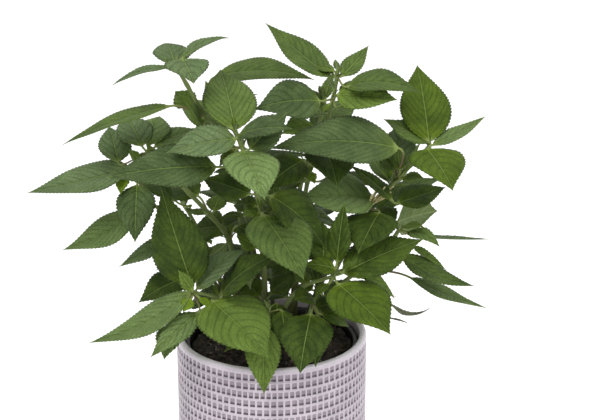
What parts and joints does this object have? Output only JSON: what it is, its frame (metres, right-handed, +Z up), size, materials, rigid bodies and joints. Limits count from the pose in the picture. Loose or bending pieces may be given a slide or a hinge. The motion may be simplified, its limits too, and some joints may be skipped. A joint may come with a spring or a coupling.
{
  "type": "potted pineapple sage",
  "caption": "Cylindrical glazed cover pot with a waffle relief, holding a nursery pot of soil and a bushy herb with toothed, pointed oval leaves.",
  "frame": {"origin": "centre of the cover pot's flat underside, which rests on the table", "axes": "+Z up along the pot's axis; the side that the picture shows faces -Y"},
  "size_m": [0.3574, 0.2743, 0.3815],
  "materials": {
    "glazed_ceramic": "pale lilac-white glaze, glossy on the lip",
    "black_plastic": "thin moulded black plastic",
    "soil": "dark moist peat with brown crumbs",
    "foliage": "dull mid-green leaves with paler undersides, on pale green hairy stems"
  },
  "bodies": {
    "root": {"cover_pot": "glazed_ceramic", "nursery_pot": "black_plastic", "potting_soil": "soil", "stem_top_left": "foliage", "stem_left": "foliage", "stem_centre": "foliage", "stem_top_right": "foliage", "stem_right": "foliage", "stem_low_right": "foliage", "stem_front_right": "foliage", "stem_front_left": "foliage", "stem_low_left": "foliage", "stem_low_front": "foliage", "stem_low_centre": "foliage", "stem_back_far_left": "foliage", "stem_back_left": "foliage", "stem_back_right": "foliage", "stem_back_far_right": "foliage", "stem_back_low": "foliage"}
  },
  "joints": []
}
